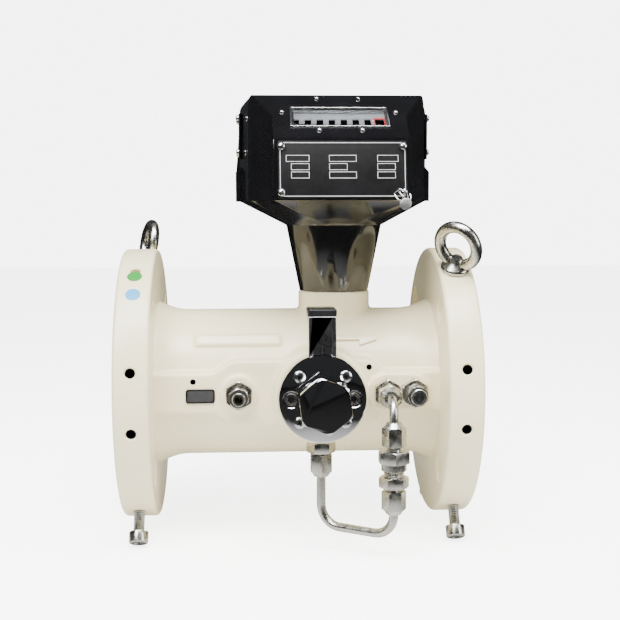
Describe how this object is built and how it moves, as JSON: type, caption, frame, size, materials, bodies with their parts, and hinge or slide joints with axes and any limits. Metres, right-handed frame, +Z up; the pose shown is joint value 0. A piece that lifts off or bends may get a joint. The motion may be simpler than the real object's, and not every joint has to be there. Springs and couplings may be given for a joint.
{
  "type": "turbine gas flow meter",
  "caption": "DN80 flanged turbine gas meter with twisted-blade rotor, worm and magnetic drive, swivelling eight-drum index head, hand oil pump with oil line, eyebolts and four foot screws.",
  "frame": {"origin": "centre of the inlet flange face on the pipe axis", "axes": "+X along the pipe in the flow direction, +Z up to the index head, -Y towards the side with the oil pump and ports"},
  "size_m": [0.243, 0.2082, 0.3054],
  "materials": {
    "cream_paint": "gloss",
    "black_paint": "gloss",
    "chrome": "polished",
    "zinc_steel": "satin",
    "bright_steel": "satin",
    "aluminium": "satin",
    "anodised_plate": "satin",
    "brass": "satin",
    "black_rubber": "matt",
    "dark_plastic": "matt",
    "white_plastic": "matt",
    "grey_plastic": "matt",
    "magnet_plastic": "matt",
    "clear_glass": "clear"
  },
  "bodies": {
    "meter": {"meter_housing": "cream_paint", "insert_sleeve": "aluminium", "retaining_ring": "zinc_steel", "flow_straightener": "aluminium", "bearing_carrier": "aluminium", "rear_bearing_plate": "aluminium", "tail_cone": "aluminium", "rotor_bearings": "bright_steel", "shaft_bushes": "brass", "magnetic_barrier": "bright_steel", "eyebolts": "zinc_steel", "foot_screws": "zinc_steel", "pump_body": "chrome", "pump_cross_screws": "bright_steel", "pump_socket_screws": "zinc_steel", "pump_spring": "bright_steel", "oil_reservoir": "chrome", "reservoir_sight_glass": "clear_glass", "reservoir_cap": "anodised_plate", "tube_fittings": "zinc_steel", "compression_nuts": "zinc_steel", "oil_line_tube": "zinc_steel", "elbow_tube": "zinc_steel", "check_valve_body": "zinc_steel", "pressure_port_fitting": "zinc_steel", "port_coupling": "zinc_steel", "port_coupling_o_ring": "black_rubber"},
    "rotor": {"rotor_wheel": "aluminium", "rotor_shaft": "bright_steel", "bearing_inner_rings": "bright_steel"},
    "vertical_drive": {"worm_wheel": "brass", "vertical_shaft": "bright_steel"},
    "coupling_drive": {"coupling_driver": "magnet_plastic"},
    "index_head": {"head_neck": "black_paint", "head_casing": "black_paint", "head_back_cover": "black_paint", "window_frame": "bright_steel", "window_pane": "clear_glass", "counter_mask": "grey_plastic", "counter_frame": "bright_steel", "carry_pinions": "white_plastic", "nameplate": "anodised_plate", "nameplate_screws": "bright_steel", "head_screws": "bright_steel"},
    "index_drive": {"coupling_follower": "magnet_plastic", "index_shaft": "bright_steel"},
    "cross_shaft": {"index_wheel": "brass"},
    "idler": {"idler_gear": "brass"},
    "plunger": {"pump_plunger": "bright_steel"},
    "cap_seal": {"pump_cap_o_ring": "black_rubber"},
    "cap": {"pump_cap": "chrome"},
    "valve_ball": {"check_valve_ball": "bright_steel"},
    "drum_1": {"number_drum_1": "white_plastic"},
    "drum_2": {"number_drum_2": "white_plastic"},
    "drum_3": {"number_drum_3": "white_plastic"},
    "drum_4": {"number_drum_4": "white_plastic"},
    "drum_5": {"number_drum_5": "white_plastic"},
    "drum_6": {"number_drum_6": "white_plastic"},
    "drum_7": {"number_drum_7": "white_plastic"},
    "drum_8": {"number_drum_8": "white_plastic"}
  },
  "joints": [
    {"name": "rotor_spin", "type": "hinge", "parent": "meter", "child": "rotor", "pos_m": [0.1075, 0, 0], "axis": [1, 0, 0], "continuous": true},
    {"name": "vertical_shaft_spin", "type": "hinge", "parent": "meter", "child": "vertical_drive", "pos_m": [0.1488, 0.0098, 0.02], "axis": [0, 0, 1], "continuous": true},
    {"name": "coupling_spin", "type": "hinge", "parent": "meter", "child": "coupling_drive", "pos_m": [0.1488, 0, 0.055], "axis": [0, 0, 1], "continuous": true},
    {"name": "head_swivel", "type": "hinge", "parent": "meter", "child": "index_head", "pos_m": [0.1488, 0, 0.09], "axis": [0, 0, 1], "range_deg": [-175, 175]},
    {"name": "index_shaft_spin", "type": "hinge", "parent": "index_head", "child": "index_drive", "pos_m": [0.1488, 0, 0.11], "axis": [0, 0, 1], "continuous": true},
    {"name": "cross_shaft_spin", "type": "hinge", "parent": "index_head", "child": "cross_shaft", "pos_m": [0.1488, -0.0098, 0.15376], "axis": [1, 0, 0], "continuous": true},
    {"name": "idler_spin", "type": "hinge", "parent": "index_head", "child": "idler", "pos_m": [0.1834, -0.02623, 0.16369], "axis": [1, 0, 0], "continuous": true},
    {"name": "drum_8_spin", "type": "hinge", "parent": "index_head", "child": "drum_8", "pos_m": [0.1488, -0.04266, 0.17363], "axis": [1, 0, 0], "continuous": true},
    {"name": "drum_7_spin", "type": "hinge", "parent": "index_head", "child": "drum_7", "pos_m": [0.1488, -0.04266, 0.17363], "axis": [1, 0, 0], "continuous": true},
    {"name": "drum_6_spin", "type": "hinge", "parent": "index_head", "child": "drum_6", "pos_m": [0.1488, -0.04266, 0.17363], "axis": [1, 0, 0], "continuous": true},
    {"name": "drum_5_spin", "type": "hinge", "parent": "index_head", "child": "drum_5", "pos_m": [0.1488, -0.04266, 0.17363], "axis": [1, 0, 0], "continuous": true},
    {"name": "drum_4_spin", "type": "hinge", "parent": "index_head", "child": "drum_4", "pos_m": [0.1488, -0.04266, 0.17363], "axis": [1, 0, 0], "continuous": true},
    {"name": "drum_3_spin", "type": "hinge", "parent": "index_head", "child": "drum_3", "pos_m": [0.1488, -0.04266, 0.17363], "axis": [1, 0, 0], "continuous": true},
    {"name": "drum_2_spin", "type": "hinge", "parent": "index_head", "child": "drum_2", "pos_m": [0.1488, -0.04266, 0.17363], "axis": [1, 0, 0], "continuous": true},
    {"name": "drum_1_spin", "type": "hinge", "parent": "index_head", "child": "drum_1", "pos_m": [0.1488, -0.04266, 0.17363], "axis": [1, 0, 0], "continuous": true},
    {"name": "pump_plunger_slide", "type": "slide", "parent": "meter", "child": "plunger", "axis": [0, 1, 0], "range_m": [0, 0.008], "deforming": ["pump_spring"]},
    {"name": "pump_cap_travel", "type": "slide", "parent": "meter", "child": "cap_seal", "axis": [0, -1, 0], "range_m": [0, 0.006]},
    {"name": "pump_cap_turn", "type": "hinge", "parent": "cap_seal", "child": "cap", "pos_m": [0.135, -0.1, 0], "axis": [0, -1, 0], "range_deg": [0, 1440]},
    {"name": "check_valve_lift", "type": "slide", "parent": "meter", "child": "valve_ball", "axis": [0, 0, 1], "range_m": [0, 0.002]}
  ],
  "couplings": [
    {"joint": "vertical_shaft_spin", "follows": "rotor_spin", "ratio": -0.05},
    {"joint": "coupling_spin", "follows": "rotor_spin", "ratio": 0.05},
    {"joint": "index_shaft_spin", "follows": "rotor_spin", "ratio": 0.05},
    {"joint": "cross_shaft_spin", "follows": "rotor_spin", "ratio": -0.0025},
    {"joint": "idler_spin", "follows": "rotor_spin", "ratio": 0.00125},
    {"joint": "drum_8_spin", "follows": "rotor_spin", "ratio": -0.0025},
    {"joint": "drum_7_spin", "follows": "rotor_spin", "ratio": -0.00025},
    {"joint": "drum_6_spin", "follows": "rotor_spin", "ratio": -0.000025},
    {"joint": "drum_5_spin", "follows": "rotor_spin", "ratio": -0.0000025},
    {"joint": "drum_4_spin", "follows": "rotor_spin", "ratio": -0.00000025},
    {"joint": "drum_3_spin", "follows": "rotor_spin", "ratio": -0.000000025},
    {"joint": "drum_2_spin", "follows": "rotor_spin", "ratio": -0.0000000025},
    {"joint": "drum_1_spin", "follows": "rotor_spin", "ratio": -0.00000000025},
    {"joint": "pump_cap_travel", "follows": "pump_cap_turn", "m_per_rad": 0.00023873}
  ]
}
